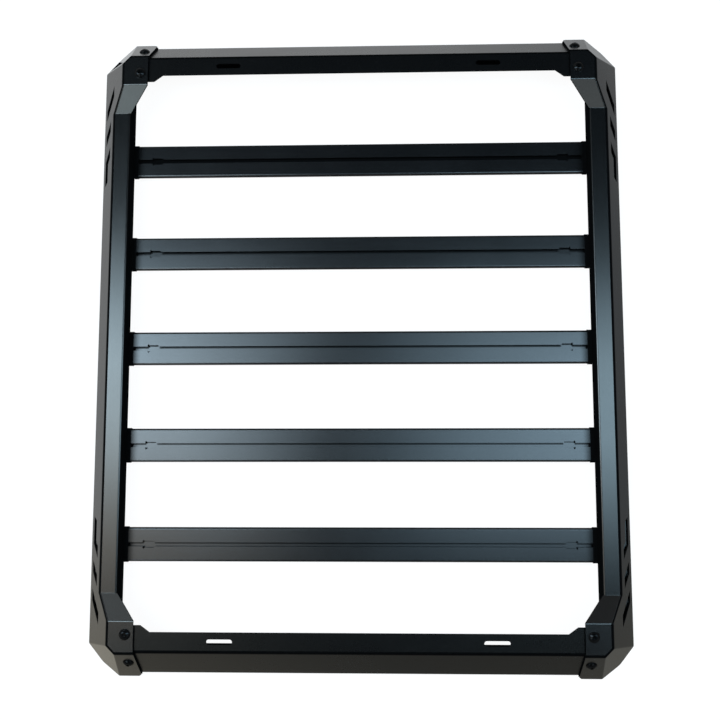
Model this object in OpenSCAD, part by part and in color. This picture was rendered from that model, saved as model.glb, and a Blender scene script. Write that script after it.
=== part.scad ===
/* [Overall] */
// Width across the bottom edges of the two side rails
rack_width = 1084; // [980:2:1240]
// Length across the bottom edges of the two ends
rack_length = 1316; // [1230:2:1500]
// Lean of the outer faces, away from upright, in degrees
flare_angle = 37.5; // [32:0.5:40]
// Thickness of the formed sheet
sheet = 3; // [2:0.5:4]
// Radius on the inside of a bend in the sheet
bend_inside = 2; // [1:0.5:3]

/* [Side rails] */
// Height of a side rail between its raised corners
rail_height = 41.5; // [38:0.5:48]
// Distance from a rail's bottom outer edge in to its inner wall
rail_foot = 66; // [60:1:76]
// Height of the raised corner blocks
block_height = 76.5; // [70:0.5:88]
// Length of a corner block's top and leaning end, seen from above
block_length = 119; // [112:1:130]
// Width of a corner block and its leaning side, seen from above
block_width = 109; // [104:1:120]
// Length along the rail of the ramp up to a corner block
ramp_run = 48; // [40:1:70]
// Leg of the corner cut at the top of a block
cut_top = 13.5; // [8:0.5:18]
// Leg of the corner cut at the bottom of a block
cut_bottom = 63.5; // [50:0.5:75]
// How far the point of the corner flap hangs below the rail
corner_drop = 18; // [8:1:19]
// Rounding of the point of the corner flap
corner_point_radius = 14; // [5:1:20]
// Nick off the lower inner corner of a block's end face
end_nick = 5; // [2:1:8]
// Width of the tabs that carry the slats
tab_width = 46; // [40:1:50]
// Height of the tabs' lower edges above the floor
tab_clearance = 2; // [1:0.5:4]
// Width of the lip folded in under a rail's leaning side
side_lip = 24; // [22:1:27]
// Gap between the end of that lip and the corner cut
lip_relief = 12; // [4:1:16]

/* [Slashes] */
// Height of the slashes' lower edges up the leaning face
slash_base = 10; // [6:1:14]
// Height of the two short slashes along the leaning face
slash_height = 23; // [16:1:28]
// Height of the tall slash nearest the corner
slash_tall_height = 37; // [26:1:42]
// Width of a slash along the rail
slash_width = 23; // [14:1:26]
// Distance from one slash to the next
slash_pitch = 56; // [48:1:60]
// Lean of the slashes from upright, in degrees
slash_angle = 50; // [40:1:54]
// Distance of the first slash's foot from the end of the rack
slash_start = 149; // [140:1:170]
// Length of the tail on the last slash
slash_tail = 31; // [20:1:50]
// Height of that tail
slash_tail_height = 13; // [8:1:15]

/* [End bars] */
// Width of an end bar's top flange
end_flange = 36; // [31:0.5:38]
// Distance from a rail's bottom outer edge in to the end of an end bar
end_bar_inset = 78; // [75:1:84]
// Gap between an end bar's bottom edge and the rails' bottom level
end_bar_lift = 1; // [0:0.5:12]
// Width of the lip folded in under an end bar's leaning flange
end_lip = 57; // [40:1:57]
// How far an end bar's ears reach in past its top flange
ear_depth = 13; // [6:1:16]
// Length of an ear along the bar
ear_length = 61; // [50:1:80]
// Length along the bar of an ear's diagonal
ear_slope = 18; // [10:1:30]
// Length of a mounting slot over its round ends
slot_length = 50; // [30:1:70]
// Width of a mounting slot
slot_width = 10; // [8:0.5:12]
// Distance between the two mounting slots' centres
slot_spacing = 534; // [400:2:700]

/* [Corner pads] */
// Thickness of the rubber pad between a corner block and an end bar
pad_thickness = 2.5; // [1:0.5:3]
// How far the pad shows past the inner edge of the block
pad_proud = 1; // [0.5:0.5:2]

/* [Slats] */
// Distance between one slat and the next
slat_pitch = 199.5; // [180:0.5:220]
// Width of a slat
slat_width = 68; // [62:1:80]
// Height of a slat
slat_height = 25; // [24:0.5:30]
// Height of the slats' top faces above the rails' bottom edges
slat_rise = 5; // [2:0.5:6]
// Width of a slat across its bottom face
slat_base_width = 46; // [42:1:50]
// Rounding of a slat's top edges
slat_edge_radius = 4; // [2:0.5:5]
// Wall of the slat extrusion
slat_wall = 2; // [1.6:0.1:2.6]
// Width of a T-slot's mouth
slot_mouth = 8.2; // [8:0.2:10]
// Thickness of the lips at a T-slot's mouth
slot_lip = 3; // [2.4:0.1:3.5]
// Width of a T-slot under its lips
slot_inner = 17; // [15:0.5:18]
// Depth of a T-slot
slot_depth = 10; // [9:0.2:10.4]
// Length of the drop-in notch near each slat end
notch_length = 22.5; // [18:0.5:30]
// Width of the drop-in notch
notch_width = 13.4; // [12:0.2:15]
// Diameter of the reliefs in a notch's two outer corners
notch_relief = 3.6; // [2:0.2:4]
// Distance of a notch's centre from the rail's inner wall
notch_inset = 50; // [40:1:80]
// Bore of a slat's screw ports
port_bore = 5; // [4:0.5:5.5]

/* [End caps] */
// Thickness of the cap between a slat and the rail
cap_thickness = 9; // [6:1:12]
// How far the cap stands out past the slat's sides
cap_overhang = 1.5; // [0.5:0.5:2]
// Length of the cap's plugs inside the slat
cap_plug = 12; // [6:1:20]
// Clearance of a plug in its chamber
cap_clearance = 0.3; // [0.2:0.1:0.5]

/* [Bolts] */
// Distance of the corner bolts from the side of the rack
corner_bolt_inset = 93; // [90:1:96]
// Distance of a corner's top bolt from the end of the rack
top_bolt_inset = 94; // [88:1:97]
// Height of a corner's end bolt above the rail's bottom edge
end_bolt_height = 45; // [40:1:54]
// Diameter of a corner bolt
bolt_d = 10; // [8:1:10]
// Diameter of a corner bolt's head
head_d = 21.5; // [18:0.5:22.5]
// Height of a corner bolt's head
head_height = 6; // [5:0.5:7]
// Length of a corner bolt under its head
bolt_length = 18; // [18:1:24]
// Clearance of a bolt in its hole, across the diameter
hole_clearance = 1; // [0.5:0.5:1.5]
// Width across the flats of a corner nut
nut_flats = 16; // [15:0.5:17]
// Height of a corner nut
nut_height = 8; // [6:0.5:8]
// Width across the flats of the socket in a corner bolt's head
bolt_socket = 6; // [5:0.5:8]
// Width across the flats of the socket in a slat screw's head
screw_socket = 4; // [3:0.5:5]
// Depth of a head's socket
socket_depth = 3; // [2:0.5:3]
// Diameter of a slat screw's head
screw_head_d = 10; // [8:0.5:11]
// Height of a slat screw's head
screw_head_height = 4; // [3:0.5:5]
// Length of a slat screw under its head
screw_length = 30; // [26:1:50]
// Clearance of a screw in its port and a bolt in its nut, across the diameter
thread_clearance = 0.2; // [0.1:0.1:0.4]

/* [Hidden] */
$fn = 48;
SLATS = [1, 2, 3, 4, 5];

frame_black = [0.16, 0.17, 0.18];
slat_black = [0.25, 0.26, 0.28];
plastic_black = [0.07, 0.07, 0.07];
bolt_black = [0.10, 0.10, 0.10];

// Signs of the two sides and the two ends
right = 1;
left = -1;
rear = 1;
front = -1;

// Extra length on cutting shapes, so that they pass clear of what they cut
over = 20;
// How far a bend's round is let out, so that it meets the flat faces at a clean line
bend_ease = 0.02;
half_width = rack_width / 2;
half_length = rack_length / 2;
flare = tan(flare_angle);
rail_bottom = slat_height - slat_rise;
rail_top = rail_bottom + rail_height;
block_top = rail_bottom + block_height;
lowest = rail_bottom - corner_drop - over;
highest = block_top + over;
wall_x = half_width - rail_foot;
block_x = half_width - block_width;
ramp_top_y = half_length - block_length;
ramp_foot_y = ramp_top_y - ramp_run;
ramp_angle = atan((block_height - rail_height) / ramp_run);
bend_outside = bend_inside + sheet;
side_lip_end = half_length - cut_bottom - lip_relief;

// The outer faces lean in as they rise, and depth is how far inside the outer face a face lies
function skirt_x(z, depth) = half_width - (z - rail_bottom) * flare - depth / cos(flare_angle);
function end_y(z, depth) = half_length - (z - rail_bottom) * flare - depth / cos(flare_angle);

// The corner cut is a leaning face across the diagonal of the corner
cut_reach_bottom = (half_width + half_length - cut_bottom) / sqrt(2);
cut_reach_top = (skirt_x(block_top, 0) + end_y(block_top, 0) - cut_top) / sqrt(2);
cut_angle = atan((cut_reach_bottom - cut_reach_top) / block_height);
function cut_reach(z, depth) = cut_reach_bottom - (z - rail_bottom) * tan(cut_angle)
    - depth / cos(cut_angle);
flap_middle = (half_length - half_width) / sqrt(2);
flap_half = cut_bottom / sqrt(2);
flap_point_half_angle = atan(flap_half / corner_drop);

// Directions in which the faces of the right rail look, at its rear end
top_out = [0, 0, 1];
skirt_out = [cos(flare_angle), 0, sin(flare_angle)];
end_out = [0, cos(flare_angle), sin(flare_angle)];
ramp_out = [0, -sin(ramp_angle), cos(ramp_angle)];
cut_out = [cos(cut_angle) / sqrt(2), cos(cut_angle) / sqrt(2), sin(cut_angle)];
along_y = [0, 1, 0];
along_ramp = unit(cross(ramp_out, skirt_out));
function unit(v) = v / norm(v);

// Heights of the axes of the bends round the rail's top and the block's top, and points on them
rail_axis_z = rail_top - bend_outside;
block_axis_z = block_top - bend_outside;
ramp_shift = bend_outside * tan(ramp_angle / 2);
ramp_foot_axis = [skirt_x(rail_axis_z, bend_outside), ramp_foot_y + ramp_shift, rail_axis_z];
skirt_axis = skirt_x(block_axis_z, bend_outside);
end_axis = end_y(block_axis_z, bend_outside);
cut_axis = cut_reach(block_axis_z, bend_outside) * sqrt(2);
ramp_top_axis = [skirt_axis, ramp_top_y + ramp_shift, block_axis_z];
corner_axis = [skirt_axis, cut_axis - skirt_axis, block_axis_z];
end_corner_axis = [cut_axis - end_axis, end_axis, block_axis_z];

slat_length = 2 * (wall_x - cap_thickness);
slat_middle = slat_height / 2;
slat_lean = atan((slat_width - slat_base_width) / 2 / (slat_height - 2 * slat_edge_radius));
function slat_y(i) = (i - (len(SLATS) + 1) / 2) * slat_pitch;
core_half = slot_inner / 2 + slat_wall;
port_radius = port_bore / 2 + slat_wall;
port_y = core_half + port_bore / 2 + slat_wall / 2;
notch_x = wall_x - notch_inset;

bar_depth = sheet + pad_thickness;
end_bar_top = block_top - bar_depth;
end_bar_bottom = rail_bottom + end_bar_lift;
end_bar_half = half_width - end_bar_inset;
flange_edge = end_y(end_bar_top, bar_depth) - end_flange;
ear_edge = flange_edge - ear_depth;
end_lip_edge = end_y(end_bar_bottom, bar_depth) - end_lip;
slot_y = (flange_edge + end_y(end_bar_top, bar_depth)) / 2;
pad_edge = block_x - pad_proud;

bolt_x = half_width - corner_bolt_inset;
top_bolt_y = half_length - top_bolt_inset;
end_bolt_z = rail_bottom + end_bolt_height;
bolt_hole_d = bolt_d + hole_clearance;
bolt_grip = bar_depth + sheet;
screw_d = port_bore - thread_clearance;

// A flat outline across the rack, drawn out along it
module along_rack(length) {
    rotate([90, 0, 0])
        linear_extrude(height = length, center = true)
            children();
}

// A flat outline along the rack, drawn out across it
module across_rack(length) {
    rotate([90, 0, 90])
        linear_extrude(height = length, center = true)
            children();
}

// Lays x, y and z of a shape drawn at the origin along three directions, and moves it to a point
module in_frame(x, y, z, at) {
    multmatrix([for (i = [0:2]) [x[i], y[i], z[i], at[i]]])
        children();
}

// What rounding takes off the edge between two flat faces, drawn in section about the bend's axis
module edge_section(half_turn, radius) {
    edge = [cos(half_turn), sin(half_turn)];
    difference() {
        polygon([
            radius * edge,
            (radius + over) * edge,
            [(radius + over) * edge[0], -(radius + over) * edge[1]],
            [radius * edge[0], -radius * edge[1]]
        ]);
        circle(r = radius + bend_ease);
    }
}

// The same drawn out along the edge, between faces that look out_a and out_b
module edge_sliver(at, along, out_a, out_b, length) {
    middle = unit(out_a + out_b);
    in_frame(middle, cross(along, middle), along, at)
        linear_extrude(height = length, center = true)
            edge_section(acos(middle * out_a), bend_outside);
}

// Side view of a rail: level rail, ramps, raised blocks and leaning ends, with the bends between them
module side_outline(depth) {
    shift = depth * tan(ramp_angle / 2);
    half = [
        [end_y(lowest, depth), lowest],
        [end_y(block_top - depth, depth), block_top - depth],
        [ramp_top_y + shift, block_top - depth],
        [ramp_foot_y + shift, rail_top - depth]
    ];
    outer = bend_outside - depth;
    hollow = bend_inside + depth;
    reach = hollow * tan(ramp_angle / 2);
    near = half[3] - [reach, 0];
    far = half[3] + reach * [cos(ramp_angle), sin(ramp_angle)];
    difference() {
        polygon(concat(half, [for (i = [3:-1:0]) [-half[i][0], half[i][1]]]));
        for (s = [0, 1])
            mirror([s, 0]) {
                translate([ramp_top_axis[1], block_axis_z])
                    rotate(90 + ramp_angle / 2)
                        edge_section(ramp_angle / 2, outer);
                translate([end_axis, block_axis_z])
                    rotate(45 + flare_angle / 2)
                        edge_section(45 - flare_angle / 2, outer);
            }
    }
    for (s = [0, 1])
        mirror([s, 0])
            difference() {
                polygon([near, near - [0, sheet], far - [0, sheet], far]);
                translate([ramp_foot_y - bend_inside * tan(ramp_angle / 2), rail_top + bend_inside])
                    circle(r = hollow + bend_ease);
            }
}

// Everything on the inner side of one leaning corner cut
module inside_cut(turn, depth) {
    rotate([0, 0, turn])
        along_rack(2 * rack_length)
            polygon([
                [-rack_length, lowest],
                [cut_reach(lowest, depth), lowest],
                [cut_reach(highest, depth), highest],
                [-rack_length, highest]
            ]);
}

// The far side of the mitre at which the bends along the level rail and up the ramp meet
module past_mitre() {
    mitre = unit(along_y + along_ramp);
    size = ramp_run + 4 * over;
    in_frame(skirt_out, cross(mitre, skirt_out), mitre, ramp_foot_axis)
        translate([-size / 2, -size / 2, 0])
            cube(size);
}

// What the bends round the leaning faces take off a rail's sharp outline
module skirt_bends() {
    difference() {
        edge_sliver([ramp_foot_axis[0], 0, rail_axis_z], along_y, skirt_out, top_out,
            2 * (ramp_foot_y + over));
        for (s = [0, 1])
            mirror([0, s, 0])
                past_mitre();
    }
    for (s = [0, 1])
        mirror([0, s, 0]) {
            intersection() {
                edge_sliver(ramp_foot_axis, along_ramp, skirt_out, ramp_out, 4 * block_length);
                past_mitre();
            }
            edge_sliver([ramp_top_axis[0], half_length - block_length / 2, block_axis_z],
                along_y, skirt_out, top_out, block_length + 2 * over);
            edge_sliver(corner_axis, unit([1, -1, 0]), cut_out, top_out, 4 * block_width);
            edge_sliver(corner_axis, unit(cross(skirt_out, cut_out)), skirt_out, cut_out,
                4 * block_height);
            edge_sliver(end_corner_axis, unit(cross(cut_out, end_out)), end_out, cut_out,
                4 * block_height);
        }
}

// The space that lies depth inside the faces of a right-hand rail
module rail_volume(depth) {
    intersection() {
        along_rack(rack_length + 2 * over)
            polygon([
                [0, lowest],
                [skirt_x(lowest, depth), lowest],
                [skirt_x(highest, depth), highest],
                [0, highest]
            ]);
        across_rack(2 * rack_width)
            side_outline(depth);
        inside_cut(45, depth);
        inside_cut(-45, depth);
    }
}

// The rail from above: its inner edge steps in over the end bars
module plan_outline() {
    edge = [
        [wall_x, ramp_foot_y],
        [block_x, ramp_top_y],
        [block_x, half_length + over],
        [half_width + over, half_length + over]
    ];
    polygon(concat(edge, [for (i = [3:-1:0]) [edge[i][0], -edge[i][1]]]));
}

// The rounded point in which the corner flap ends below the rail
module flap_point(end) {
    reach = corner_point_radius / tan(flap_point_half_angle);
    run = reach * sin(flap_point_half_angle);
    rise = reach * cos(flap_point_half_angle);
    rotate([0, 0, end * 45])
        translate([cut_reach_top, end * flap_middle, rail_bottom])
            rotate([90, 0, 90])
                linear_extrude(height = rack_width / 4) {
                    polygon([
                        [-flap_half, over],
                        [-flap_half, 0],
                        [-run, rise - corner_drop],
                        [run, rise - corner_drop],
                        [flap_half, 0],
                        [flap_half, over]
                    ]);
                    translate([0, corner_point_radius / sin(flap_point_half_angle) - corner_drop])
                        circle(r = corner_point_radius);
                }
}

// One slash as a hole square through the leaning face, its foot at the given distance from the end
module slash(foot, height, tail) {
    slant = height * tan(slash_angle);
    tail_slant = slash_tail_height * tan(slash_angle);
    outline = tail > 0
        ? [
            [foot, 0],
            [foot + slash_width + tail, 0],
            [foot + slash_width + tail - tail_slant / 2, slash_tail_height],
            [foot + slash_width - tail_slant, slash_tail_height],
            [foot + slash_width - slant, height],
            [foot - slant, height]
        ]
        : [
            [foot, 0],
            [foot + slash_width, 0],
            [foot + slash_width - slant, height],
            [foot - slant, height]
        ];
    translate([half_width, half_length, rail_bottom])
        rotate([0, -flare_angle, 0])
            across_rack(4 * sheet)
                polygon([for (p = outline) [-p[0], slash_base + p[1]]]);
}

module rail_slashes() {
    slash(slash_start, slash_tall_height, 0);
    slash(slash_start + slash_pitch, slash_height, 0);
    slash(slash_start + 2 * slash_pitch, slash_height, slash_tail);
}

// Moves a shape drawn flat at the origin to the outside of the right rear end face
module on_end_face() {
    translate([bolt_x, end_y(end_bolt_z, 0), end_bolt_z])
        rotate([flare_angle - 90, 0, 0])
            children();
}

// Moves a shape drawn flat at the origin to the right rear block's top
module on_block_top() {
    translate([bolt_x, top_bolt_y, block_top])
        children();
}

// Repeats a shape drawn at the right rear corner at another one
module at_corner(side, end) {
    mirror([side < 0 ? 1 : 0, 0, 0])
        mirror([0, end < 0 ? 1 : 0, 0])
            children();
}

module bolt_hole() {
    translate([0, 0, -over])
        cylinder(d = bolt_hole_d, h = 2 * over);
}

module corner_bolt_holes() {
    on_block_top()
        bolt_hole();
    on_end_face()
        bolt_hole();
}

// Cuts the small nick off the lower inner corner of a block's end face
module nick() {
    translate([block_x, half_length, rail_bottom])
        rotate([0, -45, 0])
            cube([end_nick * sqrt(2), 4 * over, end_nick * sqrt(2)], center = true);
}

// The lip that closes the skirt from below, seen as the dark behind the slashes
module under_lip() {
    translate([half_width - side_lip, -side_lip_end, rail_bottom])
        cube([side_lip, 2 * side_lip_end, sheet]);
}

// The formed skin of a rail: top, ramps, blocks, skirt with its lip, ends and corner flaps
module rail_skin() {
    difference() {
        intersection() {
            rail_volume(0);
            translate([0, 0, lowest])
                linear_extrude(height = highest - lowest)
                    plan_outline();
            union() {
                translate([0, -rack_length, rail_bottom])
                    cube([rack_width, 2 * rack_length, highest]);
                flap_point(front);
                flap_point(rear);
            }
        }
        skirt_bends();
        difference() {
            rail_volume(sheet);
            under_lip();
        }
    }
}

// The upright inner wall, trimmed under the ramps, with a tab at each slat
module rail_wall() {
    intersection() {
        rail_volume(0);
        translate([wall_x, -ramp_top_y, rail_bottom])
            cube([sheet, 2 * ramp_top_y, block_height]);
    }
    for (i = SLATS)
        translate([wall_x, slat_y(i) - tab_width / 2, tab_clearance])
            cube([sheet, tab_width, rail_top - rail_height / 2 - tab_clearance]);
}

// Draws about the axis of the bend from the level top down into the inner wall
module at_wall_bend() {
    along_rack(2 * ramp_foot_y)
        translate([wall_x + bend_outside, rail_axis_z])
            children();
}

module wall_bend_filling() {
    at_wall_bend()
        difference() {
            translate([-bend_inside - sheet / 2, 0])
                square(bend_inside + sheet / 2);
            circle(r = bend_inside + bend_ease);
        }
}

module side_rail(side) {
    color(frame_black)
        mirror([side < 0 ? 1 : 0, 0, 0])
            difference() {
                union() {
                    rail_skin();
                    rail_wall();
                    wall_bend_filling();
                }
                at_wall_bend()
                    rotate(135)
                        edge_section(45, bend_outside);
                for (end = [front, rear])
                    at_corner(right, end) {
                        rail_slashes();
                        corner_bolt_holes();
                        nick();
                    }
                for (i = SLATS)
                    for (y = [-port_y, port_y])
                        translate([wall_x, slat_y(i) + y, slat_middle])
                            rotate([0, 90, 0])
                                translate([0, 0, -over])
                                    cylinder(d = port_bore + hole_clearance, h = 2 * over);
            }
}

// A slot with round ends, drawn flat
module round_slot(length, width) {
    translate([(width - length) / 2, 0])
        circle(d = width);
    translate([(length - width) / 2, 0])
        circle(d = width);
    square([length - width, width], center = true);
}

// What lies depth inside an end bar's faces, drawn in section from its inner edge and its lowest level
module bar_section(depth, inner, low) {
    top = end_bar_top - depth;
    axis_z = end_bar_top - bend_outside;
    difference() {
        polygon([
            [inner, top],
            [end_y(top, bar_depth + depth), top],
            [end_y(low, bar_depth + depth), low],
            [inner, low]
        ]);
        translate([end_y(axis_z, bar_depth + bend_outside), axis_z])
            rotate(45 + flare_angle / 2)
                edge_section(45 - flare_angle / 2, bend_outside - depth);
    }
}

// An end bar: top flange with ears and mounting slots, a leaning outer flange and the lip under it
module end_bar(end) {
    color(frame_black)
        at_corner(right, end)
            difference() {
                union() {
                    across_rack(2 * end_bar_half)
                        difference() {
                            bar_section(0, flange_edge, end_bar_bottom);
                            bar_section(sheet, flange_edge - over, end_bar_bottom + sheet);
                            translate([end_lip_edge - half_length, end_bar_bottom - over])
                                square([half_length, over + 2 * sheet]);
                        }
                    for (side = [left, right])
                        at_corner(side, rear)
                            translate([0, 0, end_bar_top - sheet])
                                linear_extrude(height = sheet)
                                    polygon([
                                        [end_bar_half - ear_length, flange_edge],
                                        [end_bar_half - ear_length + ear_slope, ear_edge],
                                        [end_bar_half, ear_edge],
                                        [end_bar_half, flange_edge + sheet],
                                        [end_bar_half - ear_length, flange_edge + sheet]
                                    ]);
                }
                for (side = [left, right])
                    translate([side * slot_spacing / 2, slot_y, end_bar_top - over])
                        linear_extrude(height = 2 * over)
                            round_slot(slot_length, slot_width);
                for (side = [left, right])
                    at_corner(side, rear)
                        corner_bolt_holes();
            }
}

// A rubber pad between a corner block and the end bar under it
module corner_pad(side, end) {
    color(plastic_black)
        at_corner(side, end)
            difference() {
                translate([(pad_edge + end_bar_half) / 2, 0, 0])
                    across_rack(end_bar_half - pad_edge)
                        difference() {
                            bar_section(-pad_thickness, ear_edge, end_bar_bottom);
                            bar_section(0, ear_edge - over, end_bar_bottom - over);
                        }
                corner_bolt_holes();
            }
}

// The slat's outline in section, grown sideways by grow
module slat_outline(grow) {
    top_half = slat_width / 2 + grow;
    base_half = slat_base_width / 2 + grow;
    shoulder = slat_height - slat_edge_radius;
    polygon([
        [-base_half, 0],
        [base_half, 0],
        [top_half, shoulder - slat_edge_radius],
        [top_half, shoulder],
        [top_half - slat_edge_radius, slat_height],
        [slat_edge_radius - top_half, slat_height],
        [-top_half, shoulder],
        [-top_half, shoulder - slat_edge_radius]
    ]);
    for (s = [-1, 1])
        translate([s * (top_half - slat_edge_radius), shoulder])
            circle(r = slat_edge_radius);
}

// The hollow beside a slat's core, made smaller all round by inset
module chamber(inset) {
    wall = slat_wall + inset;
    shoulder = slat_height - slat_edge_radius;
    polygon([
        [core_half + inset, wall],
        [slat_base_width / 2 + wall * tan(slat_lean) - wall / cos(slat_lean), wall],
        [slat_width / 2 - wall / cos(slat_lean), shoulder - slat_edge_radius],
        [slat_width / 2 - wall, shoulder - slat_edge_radius / 2],
        [slat_width / 2 - wall, shoulder],
        [slat_width / 2 - slat_edge_radius, slat_height - wall],
        [core_half + inset, slat_height - wall]
    ]);
}

// Both T-slots in section, back to back
module t_slots() {
    for (s = [0, 1])
        translate([0, s * slat_height])
            mirror([0, s, 0]) {
                translate([-slot_mouth / 2, -over])
                    square([slot_mouth, over + slot_depth / 2]);
                translate([-slot_inner / 2, slot_lip])
                    square([slot_inner, slot_depth - slot_lip]);
            }
}

module slat(i) {
    color(slat_black)
        translate([0, slat_y(i), 0])
            difference() {
                across_rack(slat_length)
                    difference() {
                        slat_outline(0);
                        t_slots();
                        for (s = [0, 1])
                            mirror([s, 0])
                                difference() {
                                    chamber(0);
                                    translate([port_y, slat_middle])
                                        circle(r = port_radius);
                                }
                        for (s = [-1, 1])
                            translate([s * port_y, slat_middle])
                                circle(d = port_bore);
                    }
                for (s = [0, 1])
                    mirror([s, 0, 0])
                        translate([notch_x, 0, slat_height - slot_lip / 2])
                            notch();
            }
}

// The opening that lets a nut into the slot, with reliefs in its two outer corners
module notch() {
    cube([notch_length, notch_width, 2 * slot_lip], center = true);
    for (y = [-notch_width / 2, notch_width / 2])
        translate([(notch_length - notch_relief) / 2, y, 0])
            cylinder(d = notch_relief, h = 2 * slot_lip, center = true);
}

// An end cap: a plate between slat and rail, with a plug in each chamber
module slat_cap(i, side) {
    color(plastic_black)
        translate([0, slat_y(i), 0])
            mirror([side < 0 ? 1 : 0, 0, 0])
                difference() {
                    union() {
                        translate([wall_x - cap_thickness / 2, 0, 0])
                            across_rack(cap_thickness)
                                slat_outline(cap_overhang);
                        translate([wall_x - cap_thickness - cap_plug / 2, 0, 0])
                            across_rack(cap_plug + 1)
                                for (s = [0, 1])
                                    mirror([s, 0])
                                        difference() {
                                            chamber(cap_clearance);
                                            translate([port_y, slat_middle])
                                                circle(r = port_radius + cap_clearance);
                                        }
                    }
                    for (y = [-port_y, port_y])
                        translate([wall_x, y, slat_middle])
                            rotate([0, 90, 0])
                                cylinder(d = port_bore + hole_clearance, h = 2 * over, center = true);
                }
}

// A button-head bolt with a hex socket, its domed head seated at the origin
module button_bolt(diameter, length, head, height, socket) {
    rim = height / 4;
    flat = head / 5;
    dome_z = (flat * flat + height * height - head * head / 4 - rim * rim) / (2 * (height - rim));
    difference() {
        union() {
            translate([0, 0, -length])
                cylinder(d = diameter, h = length + rim);
            intersection() {
                cylinder(d = head, h = height);
                translate([0, 0, dome_z])
                    sphere(r = norm([flat, height - dome_z]));
            }
        }
        translate([0, 0, height - socket_depth])
            cylinder(d = socket / cos(30), h = over, $fn = 6);
    }
}

// The four screws that hold a slat, their heads on the outside of the rails' inner walls
module slat_screws(i) {
    color(bolt_black)
        for (side = [left, right])
            for (y = [-port_y, port_y])
                mirror([side < 0 ? 1 : 0, 0, 0])
                    translate([wall_x + sheet, slat_y(i) + y, slat_middle])
                        rotate([0, 90, 0])
                            button_bolt(screw_d, screw_length, screw_head_d, screw_head_height, screw_socket);
}

module corner_bolt() {
    color(bolt_black)
        button_bolt(bolt_d, bolt_length, head_d, head_height, bolt_socket);
}

module nut() {
    color(bolt_black)
        translate([0, 0, -bolt_grip - nut_height])
            difference() {
                cylinder(d = nut_flats / cos(30), h = nut_height, $fn = 6);
                translate([0, 0, -over])
                    cylinder(d = bolt_d + thread_clearance, h = 2 * over);
            }
}

module top_bolt(side, end) {
    at_corner(side, end)
        on_block_top()
            corner_bolt();
}

module end_bolt(side, end) {
    at_corner(side, end)
        on_end_face()
            corner_bolt();
}

module corner_nuts(side, end) {
    at_corner(side, end) {
        on_block_top()
            nut();
        on_end_face()
            nut();
    }
}

side_rail(left);  // side_rail_left
side_rail(right);  // side_rail_right
end_bar(front);  // front_end_bar
end_bar(rear);  // rear_end_bar
slat(1);  // slat_1
slat(2);  // slat_2
slat(3);  // slat_3
slat(4);  // slat_4
slat(5);  // slat_5
slat_cap(1, left);  // slat_1_cap_left
slat_cap(2, left);  // slat_2_cap_left
slat_cap(3, left);  // slat_3_cap_left
slat_cap(4, left);  // slat_4_cap_left
slat_cap(5, left);  // slat_5_cap_left
slat_cap(1, right);  // slat_1_cap_right
slat_cap(2, right);  // slat_2_cap_right
slat_cap(3, right);  // slat_3_cap_right
slat_cap(4, right);  // slat_4_cap_right
slat_cap(5, right);  // slat_5_cap_right
slat_screws(1);  // slat_1_screws
slat_screws(2);  // slat_2_screws
slat_screws(3);  // slat_3_screws
slat_screws(4);  // slat_4_screws
slat_screws(5);  // slat_5_screws
top_bolt(left, front);  // top_bolt_front_left
top_bolt(right, front);  // top_bolt_front_right
top_bolt(left, rear);  // top_bolt_rear_left
top_bolt(right, rear);  // top_bolt_rear_right
end_bolt(left, front);  // end_bolt_front_left
end_bolt(right, front);  // end_bolt_front_right
end_bolt(left, rear);  // end_bolt_rear_left
end_bolt(right, rear);  // end_bolt_rear_right
corner_nuts(left, front);  // nuts_front_left
corner_nuts(right, front);  // nuts_front_right
corner_nuts(left, rear);  // nuts_rear_left
corner_nuts(right, rear);  // nuts_rear_right
corner_pad(left, front);  // corner_pad_front_left
corner_pad(right, front);  // corner_pad_front_right
corner_pad(left, rear);  // corner_pad_rear_left
corner_pad(right, rear);  // corner_pad_rear_right
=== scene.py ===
import bpy
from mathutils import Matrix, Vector


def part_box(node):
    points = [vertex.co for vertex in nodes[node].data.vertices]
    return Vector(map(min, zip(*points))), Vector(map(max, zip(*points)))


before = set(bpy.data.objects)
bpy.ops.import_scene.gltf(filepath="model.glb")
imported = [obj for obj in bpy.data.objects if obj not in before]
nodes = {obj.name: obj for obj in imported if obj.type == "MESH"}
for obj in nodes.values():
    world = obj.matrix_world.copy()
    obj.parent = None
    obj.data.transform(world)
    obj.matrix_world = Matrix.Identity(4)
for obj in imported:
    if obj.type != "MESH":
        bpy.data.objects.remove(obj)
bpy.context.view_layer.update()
scene = bpy.context.scene
print("frame loaded:", len(nodes), "nodes")


# A number socket, so that shader maths reads as plain maths
class Value:
    def __init__(self, socket):
        self.socket = socket

    def math(self, operation, *items):
        tree = self.socket.node.id_data
        made = tree.nodes.new("ShaderNodeMath")
        made.operation = operation
        for socket, item in zip(made.inputs, items):
            if isinstance(item, Value):
                tree.links.new(item.socket, socket)
            else:
                socket.default_value = item
        return Value(made.outputs[0])

    def __add__(self, other):
        return self.math("ADD", self, other)

    def __radd__(self, other):
        return self.math("ADD", other, self)

    def __sub__(self, other):
        return self.math("SUBTRACT", self, other)

    def __rsub__(self, other):
        return self.math("SUBTRACT", other, self)

    def __mul__(self, other):
        return self.math("MULTIPLY", self, other)

    def __rmul__(self, other):
        return self.math("MULTIPLY", other, self)

    def __abs__(self):
        return self.math("ABSOLUTE", self)

    # The distance from the nearest of a row of places, one every pitch
    def fromNearest(self, pitch):
        return self.math("WRAP", self, pitch / 2, -pitch / 2)


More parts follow.
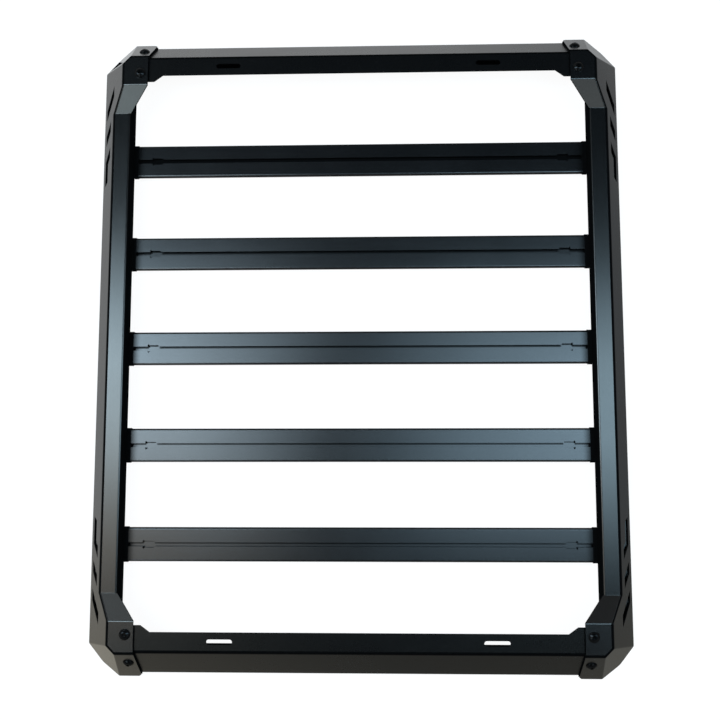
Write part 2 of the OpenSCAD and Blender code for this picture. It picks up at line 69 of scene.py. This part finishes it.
# The nodes of one material or of the world, each added by the one method
class Shader:
    def __init__(self, owner):
        owner.use_nodes = True
        self.tree = owner.node_tree
        self.tree.nodes.clear()

    def node(self, kind, settings=None, sockets=None):
        made = self.tree.nodes.new("ShaderNode" + kind)
        for name, value in (settings or {}).items():
            setattr(made, name, value)
        for name, value in (sockets or {}).items():
            socket = made.inputs[name]
            if isinstance(value, Value):
                value = value.socket
            if isinstance(value, bpy.types.NodeSocket):
                self.tree.links.new(value, socket)
            else:
                socket.default_value = value
        return made

    # The three numbers of a vector
    def parts(self, vector):
        return [Value(socket) for socket in self.node("SeparateXYZ", None, {0: vector}).outputs]

    def product(self, first, second):
        return self.node("VectorMath", {"operation": "MULTIPLY"}, {0: first, 1: second}).outputs[0]

    # Soft random patches, from 0 to 1 about 0.5; stretch is how many fit in a metre, along x, y and z
    def noise(self, stretch, detail=2, roughness=0.5):
        place = self.node("TexCoord").outputs["Object"]
        made = self.node("TexNoise", {"noise_dimensions": "3D"}, {
            "Vector": self.product(place, stretch),
            "Scale": 1.0,
            "Detail": detail,
            "Roughness": roughness,
        })
        return Value(made.outputs[0])

    # A value kept between low and high, moved softly or evenly from start to end
    def step(self, value, low, high, start=0.0, end=1.0, kind="SMOOTHSTEP"):
        made = self.node("MapRange", {"interpolation_type": kind}, {
            "Value": value,
            "From Min": low,
            "From Max": high,
            "To Min": start,
            "To Max": end,
        })
        return Value(made.outputs[0])

    def blend(self, factor, first, second):
        return self.node("Mix", {"data_type": "RGBA"}, {0: factor, 6: first, 7: second}).outputs[2]

    def bump(self, height, distance):
        return self.node("Bump", None, {"Height": height, "Distance": distance, "Strength": 1.0}).outputs[0]

    def mixed(self, factor, first, second):
        return self.node("MixShader", None, {0: factor, 1: first, 2: second}).outputs[0]

    def principled(self, sockets):
        return self.node("BsdfPrincipled", None, sockets).outputs[0]

    def surface(self, shader):
        self.node("OutputMaterial", None, {"Surface": shader})


# Finishes

# Satin black powder coat on the formed sheet: a fine cast texture, with softly uneven gloss.
# A pair of values gives where a mask begins to grow from 0, and where it is 1.
# Lean is how far a face looks up: 1 is straight up, 0 upright and -1 straight down.
frameCoat = {
    "colour": (0.0011, 0.0011, 0.0012, 1),
    "dust": (0.010, 0.009, 0.008, 1),
    "dustAmount": 0.15,
    "roughness": 0.235,
    "unevenness": 0.03,
    "gloss": 0.30,
    # painted warm reflection: a warm tint on the gloss, for warm light around the rack
    "tint": (1.0, 0.96, 0.89, 1),
    "grain": 0.0013,                 # size of the coat's texture, metres
    "grainDepth": 0.00002,
    "dryColour": (0.0015, 0.0015, 0.0015, 1),    # painted shade: a matte black coat without gloss, where shade falls
    "dryRoughness": 0.80,
    "dryGloss": 0.0,
    "facesUp": (0.15, 0.45),         # lean of the faces left unshaded; faces that look further down get painted shade
    "notInward": (-0.40, -0.22),     # distance across from the middle, times how far a face looks outward
    "facesOut": (0.02, 0.10),        # the same, across and along added up, for the skirts
    "bendStart": (0.9995, 0.985),    # lean over which an outer bend begins, and ends; the bends get painted shade
    "bendEnd": (0.612, 0.640),
    "leaning": (0.98, 0.95),         # lean below which a face is part of a skirt
    "ramp": (0.491, 0.539),          # along y, where the rail's top climbs to its corner block
    "ridge": (0.0615, 0.0965),       # height of the top before and after that climb
    "bendDeep": (0.004, 0.008),      # depth below the top where the painted shade of the bend fades out
}
# The end bars: the same coat with less gloss and a warmer reflection, painted shade that dims what they
# mirror
endCoat = dict(frameCoat, gloss=0.12, roughness=0.28, tint=(1.0, 0.95, 0.84, 1),
               ridge=(0.091, 0.091), bendDeep=(0.005, 0.009))


# 1 where the coat is unshaded; less where painted shade falls: on faces that look down or in, on the outer
# bends and just below
def frameUnshaded(shade, look):
    geometry = shade.node("NewGeometry").outputs
    lean = shade.parts(geometry["Normal"])[2]
    sideways, endways, _ = shade.parts(shade.product(geometry["Position"], geometry["Normal"]))
    _, along, height = shade.parts(geometry["Position"])
    upward = shade.step(lean, *look["facesUp"]) * shade.step(sideways, *look["notInward"])
    outward = shade.step(sideways + endways, *look["facesOut"])
    # Painted shade on the outer bends, and in a band just below the top of the skirts
    bendShade = outward * shade.step(lean, *look["bendStart"]) * shade.step(lean, *look["bendEnd"])
    ridge = shade.step(abs(along), *look["ramp"], *look["ridge"], kind="LINEAR")
    belowRidge = shade.step(ridge - height, *look["bendDeep"], 1.0, 0.0)
    skirtShade = outward * belowRidge * shade.step(lean, *look["leaning"])
    return (upward + outward * (1 - upward)) * (1 - bendShade) * (1 - skirtShade)


# The slats have the same coat, thinner, so the lines of the extrusion show through along them
slatCoat = {
    "colour": (0.0012, 0.0012, 0.0013, 1),
    "dust": (0.010, 0.009, 0.008, 1),
    "dustAmount": 0.15,
    "roughness": 0.235,
    "unevenness": 0.03,
    "gloss": 0.29,
    # painted warm reflection: a warm tint on the gloss, for warm light around the rack
    "tint": (1.0, 0.98, 0.95, 1),
    "grain": 0.0010,
    "grainDepth": 0.000015,
    "lines": (6, 900, 900),          # lines of the extrusion in a metre, along x, y and z
    "lineGloss": 0.05,
    "lineDepth": 0.5,
    # painted shade: a matte black coat without gloss, where shade falls
    "dryColour": (0.0015, 0.0015, 0.0015, 1),
    "dryRoughness": 0.70,
    "dryGloss": 0.0,
    "upright": (0.16, 0.06),         # square of the lean of a slot's walls and a slat's edges, which get painted shade
    "under": (-0.8, -0.9),           # lean of a slat's underside, which gets painted shade
    "level": (0.5, 0.8),             # lean of the slot's floor
    "slotDeep": (0.021, 0.019),      # height below which a face is the slot's floor
    "slotDark": (0.12, 0.36),        # along y, where painted shade darkens the slots' floors, from lit to dark
    "slotShade": 0.0002,             # from a slat's middle, where the far side of its slot is shaded
    "notchShade": 0.0045,            # the same, in the drop-in notches
    "shadeDepth": 0.72,
    "shadeEdge": 0.0008,
    "notch": (0.4148, 0.4372),       # across x, from where to where a drop-in notch reaches
    "notchEdge": 0.0005,
    "endFade": (0.450, 0.470),       # across x, where painted shade darkens a slat towards its caps
    "endThin": 0.8,
    "pitch": (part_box("slat_5")[0][1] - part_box("slat_1")[0][1]) / 4,
}


# 1 on the slats' tops; less where painted shade falls: on their upright walls, in the shade of a slot,
# underneath and at their ends
def slatUnshaded(shade, look):
    geometry = shade.node("NewGeometry").outputs
    lean = shade.parts(geometry["Normal"])[2]
    side, along, height = shade.parts(geometry["Position"])
    across = abs(side)
    upright = shade.step(lean * lean, *look["upright"])
    under = shade.step(lean, *look["under"])
    onFloor = shade.step(height, *look["slotDeep"]) * shade.step(lean, *look["level"])
    start, end = look["notch"]
    edge = look["notchEdge"]
    inNotch = shade.step(across, start, start + edge) * shade.step(across, end + edge, end)
    shadeFrom = look["slotShade"] + inNotch * (look["notchShade"] - look["slotShade"])
    shaded = shade.step(along.fromNearest(look["pitch"]) - shadeFrom, 0.0, look["shadeEdge"])
    shadow = shaded * look["shadeDepth"]
    # Painted shade on the floors of the slots of the farther slats
    farSlotShade = shade.step(along, *look["slotDark"])
    inSlot = onFloor * (shadow + farSlotShade * (1 - shadow))
    # Painted shade on a slat's ends, next to its caps
    endShade = shade.step(across, *look["endFade"])
    return (1 - upright) * (1 - under) * (1 - inSlot) * (1 - endShade * look["endThin"])


# Matt plastic and rubber have the same even surface all over
capPlastic = {
    "colour": (0.0012, 0.0012, 0.0012, 1),
    "dust": (0.006, 0.006, 0.005, 1),
    "dustAmount": 0.1,
    "roughness": 0.72,
    "unevenness": 0.05,
    "gloss": 0.01,
    "tint": (1, 1, 1, 1),
    "grain": 0.0007,
    "grainDepth": 0.00006,
}
padRubber = dict(capPlastic, roughness=0.85, grain=0.0004)

# What all these surfaces share: how many patches and specks fit in a metre, and where dust lies
texture = {
    "patches": 9,
    "specks": 140,
    "peelSize": 5,                   # size of the coat's orange peel, in grains
    "grainShare": 0.7,
    "peelShare": 0.6,
    "dustSpecks": (0.55, 0.85),
    "dustPatches": (0.35, 0.7),
}


# One coat; where the mask of the unshaded parts falls from 1 to 0, it turns to painted shade: matte black
# without gloss
def makeCoat(name, look, unshadedMask=None):
    material = bpy.data.materials.new(name)
    shade = Shader(material)
    patches = shade.noise([texture["patches"]] * 3, detail=3)
    specks = shade.noise([texture["specks"]] * 3, roughness=0.6)
    grains = 1 / look["grain"]
    grain = shade.noise([grains] * 3, roughness=0.55)
    peel = shade.noise([grains / texture["peelSize"]] * 3, detail=1)
    uneven = (patches - 0.5) * (2 * look["unevenness"]) + (specks - 0.5) * look["unevenness"]
    rough = look["roughness"] + uneven
    height = grain * texture["grainShare"] + peel * texture["peelShare"]
    if "lines" in look:
        drawn = shade.noise(look["lines"], roughness=0.6)
        rough = rough + (drawn - 0.5) * look["lineGloss"]
        height = height + drawn * look["lineDepth"]
    dustSpecks = shade.step(specks, *texture["dustSpecks"], 0, look["dustAmount"])
    dust = dustSpecks * shade.step(patches, *texture["dustPatches"])
    relief = shade.bump(height, look["grainDepth"])
    coat = shade.principled({
        "Base Color": shade.blend(dust, look["colour"], look["dust"]),
        "Roughness": rough,
        "Specular IOR Level": look["gloss"],
        "Specular Tint": look["tint"],
        "Normal": relief,
    })
    if unshadedMask:
        # Painted shade: the coat without gloss, where shade falls
        paintedShade = shade.principled({
            "Base Color": shade.blend(dust, look["dryColour"], look["dust"]),
            "Roughness": look["dryRoughness"] + (patches - 0.5) * look["unevenness"],
            "Specular IOR Level": look["dryGloss"],
            "Normal": relief,
        })
        coat = shade.mixed(unshadedMask(shade, look), paintedShade, coat)
    shade.surface(coat)
    return material


# Black oxide on steel under a film of oil: almost black, with small sharp highlights
boltFinish = {
    "colour": (0.0010, 0.0010, 0.0010, 1),
    "worn": (0.006, 0.006, 0.005, 1),
    "wornFrom": (0.55, 0.8),
    "wornAmount": 0.35,
    "roughness": 0.14,
    "unevenness": 0.2,
    "gloss": 0.06,
    "smudges": 260,                  # in a metre
    "smudgeDepth": 0.00004,
}


def makeBolt(name, look):
    material = bpy.data.materials.new(name)
    shade = Shader(material)
    smudge = shade.noise([look["smudges"]] * 3, detail=3, roughness=0.6)
    worn = shade.step(smudge, *look["wornFrom"], 0, look["wornAmount"])
    shade.surface(shade.principled({
        "Base Color": shade.blend(worn, look["colour"], look["worn"]),
        "Roughness": look["roughness"] + (smudge - 0.5) * look["unevenness"],
        "Specular IOR Level": look["gloss"],
        "Normal": shade.bump(smudge, look["smudgeDepth"]),
    }))
    return material


bolt = makeBolt("boltBlack", boltFinish)

# The first word that is in a node's name gives its finish
finishes = {
    "rail": makeCoat("frameCoat", frameCoat, frameUnshaded),
    "end_bar": makeCoat("endCoat", endCoat, frameUnshaded),
    "bolt": bolt,
    "screws": bolt,
    "nuts": bolt,
    "pad": makeCoat("padRubber", padRubber),
    "cap": makeCoat("capPlastic", capPlastic),
    "slat": makeCoat("slatCoat", slatCoat, slatUnshaded),
}

for name, node in nodes.items():
    node.data.materials.clear()
    node.data.materials.append(next(finish for word, finish in finishes.items() if word in name))
print("finishes made")


# Floor, light and camera

room = {
    "floorColour": (0.80, 0.80, 0.79, 1),
    "floorSize": 60.0,
    "floorLevel": -0.0005,                  # just under the slats, so that no faces coincide
    "white": 0.94,                          # share of plain white in the floor; the rest keeps the shadow
    "horizon": (1.0, 1.0, 1.0, 1),
    "horizonBand": (0.03, 0.16),            # rise of a mirrored ray over which the horizon's white ends
    "walls": (0.46, 0.48, 0.50, 1),         # soft light from the sides, seen in gloss from low views
    "wallTop": (0.58, 0.80),                # rise of a ray over which wall turns to ceiling
    "overhead": (0.008, 0.008, 0.009, 1),   # the dark ceiling between the panels
    "backdrop": (0.95, 0.95, 0.95, 1),
    # painted warm light on the mirrored floor, to the front
    "warmWhite": (1.0, 0.91, 0.72, 1),
    "warmFrom": (-0.25, -0.70),             # where along y painted warm light tints the mirrored floor
    "mirrored": {                           # painted falloff of light: brightness of the mirrored floor
        "middle": 0.68,
        "perX": -0.56,                      # its change per metre
        "perY": 0.38,
        "least": 0.32,
    },
}


# 1 for rays from the eye, from glossy surfaces and through glass
def seenDirectly(shade):
    path = shade.node("LightPath").outputs
    total = Value(path["Is Camera Ray"]) + Value(path["Is Glossy Ray"]) + Value(path["Is Transmission Ray"])
    return shade.step(total, 0.0, 1.0)


def toEye(shade):
    return Value(shade.node("LightPath").outputs["Is Camera Ray"])


# Plain white to the eye; in mirrors, painted falloff of light darkens it to the front right, and painted
# warm light tints it to the front
def floorWhite(shade):
    across, along, _ = shade.parts(shade.node("TexCoord").outputs["Object"])
    look = room["mirrored"]
    slope = across * look["perX"] + along * look["perY"]
    paintedFalloff = shade.step(slope, look["least"] - look["middle"], 1 - look["middle"], look["least"], 1.0)
    paintedWarmth = shade.blend(shade.step(along, *room["warmFrom"]), room["horizon"], room["warmWhite"])
    mirrored = shade.blend(paintedFalloff, (0, 0, 0, 1), paintedWarmth)
    return shade.blend(toEye(shade), mirrored, room["horizon"])


def makeFloor():
    half = room["floorSize"] / 2
    mesh = bpy.data.meshes.new("floor")
    corners = [(-half, -half), (half, -half), (half, half), (-half, half)]
    mesh.from_pydata([(x, y, room["floorLevel"]) for x, y in corners], [], [(0, 1, 2, 3)])
    floor = bpy.data.objects.new("floor", mesh)
    scene.collection.objects.link(floor)
    material = bpy.data.materials.new("floorPale")
    shade = Shader(material)
    matte = shade.node("BsdfDiffuse", None, {"Color": room["floorColour"]})
    white = shade.node("Emission", None, {"Color": floorWhite(shade), "Strength": 1.0})
    shade.surface(shade.mixed(seenDirectly(shade) * room["white"], matte.outputs[0], white.outputs[0]))
    mesh.materials.append(material)


def makeSky():
    world = bpy.data.worlds.new("studio")
    scene.world = world
    shade = Shader(world)
    rise = shade.parts(shade.node("TexCoord").outputs["Generated"])[2]
    roomLight = shade.blend(shade.step(rise, *room["wallTop"]), room["walls"], room["overhead"])
    mirrored = shade.blend(shade.step(rise, *room["horizonBand"]), room["horizon"], roomLight)
    lit = shade.blend(seenDirectly(shade), roomLight, mirrored)
    seen = shade.blend(toEye(shade), lit, room["backdrop"])
    background = shade.node("Background", None, {"Color": seen, "Strength": 1.0})
    shade.node("OutputWorld", None, {"Surface": background.outputs[0]})


# Each light: place, what it points at, depth, width, power, colour and how many sheets make its soft edge
rackMiddle = (0.0, 0.0, 0.0)
sheetGap = 0.01
lights = {
    "leftPanel": {"at": (-1.68, 0.27, 2.40), "to": rackMiddle, "size": (1.19, 3.0), "power": 160,
                  "colour": (0.59, 0.814, 1.0), "sheets": 4},
    "rightPanel": {"at": (1.36, 0.04, 2.40), "to": rackMiddle, "size": (1.26, 3.0), "power": 112,
                   "colour": (0.52, 0.78, 1.0), "sheets": 4},
    "frontPanel": {"at": (-1.50, -0.45, 2.40), "to": rackMiddle, "size": (1.3, 2.2), "power": 24,
                   "colour": (0.92, 0.84, 0.74), "sheets": 4},
    "frontLeft": {"at": (-1.20, -1.45, 1.75), "to": (-0.45, 0.5, 0.06), "size": (0.9, 0.7), "power": 18,
                  "colour": (0.71, 0.89, 1.0), "sheets": 1},
    "frontRight": {"at": (1.05, -1.45, 1.75), "to": (0.45, 0.5, 0.06), "size": (0.9, 0.7), "power": 6.5,
                   "colour": (0.78, 0.91, 1.0), "sheets": 1},
    "rearLow": {"at": (-1.35, 1.95, 1.30), "to": (-0.45, -0.5, 0.06), "size": (1.1, 0.6), "power": 6.0,
                "colour": (0.78, 0.91, 1.0), "sheets": 1},
}


# A soft box: sheets of the same brightness laid just apart, each smaller than the last
def makeLight(name, look):
    count = look["sheets"]
    aim = (Vector(look["to"]) - Vector(look["at"])).normalized()
    scales = [(count - sheet) / count for sheet in range(count)]
    areas = [scale ** 2 for scale in scales]
    for sheet, scale in enumerate(scales):
        data = bpy.data.lights.new(f"{name}{sheet}", "AREA")
        data.shape = "RECTANGLE"
        data.size, data.size_y = [side * scale for side in look["size"]]
        data.energy = look["power"] * areas[sheet] / sum(areas)
        data.color = look["colour"]
        lamp = bpy.data.objects.new(f"{name}{sheet}", data)
        scene.collection.objects.link(lamp)
        lamp.location = Vector(look["at"]) + aim * sheet * sheetGap
        lamp.rotation_euler = aim.to_track_quat("-Z", "Y").to_euler()
        lamp.visible_camera = False


# The photograph's viewpoint, solved from the outline of the rack
view = {
    "at": (0.0641, -0.2391, 1.9141),
    "turn": (0.11251, 0.03233, -0.00385),
    "focalPixels": 926.81,
    "imagePixels": 720,
    "sensor": 36,                # millimetres
}


def makeCamera():
    data = bpy.data.cameras.new("camera")
    camera = bpy.data.objects.new("camera", data)
    scene.collection.objects.link(camera)
    camera.location = view["at"]
    camera.rotation_mode = "ZYX"
    camera.rotation_euler = view["turn"]
    data.sensor_width = view["sensor"]
    data.lens = view["focalPixels"] / view["imagePixels"] * view["sensor"]
    scene.camera = camera


makeFloor()
makeSky()
for name, look in lights.items():
    makeLight(name, look)
makeCamera()
scene.view_settings.view_transform = "Standard"
print("stage, light and camera made")
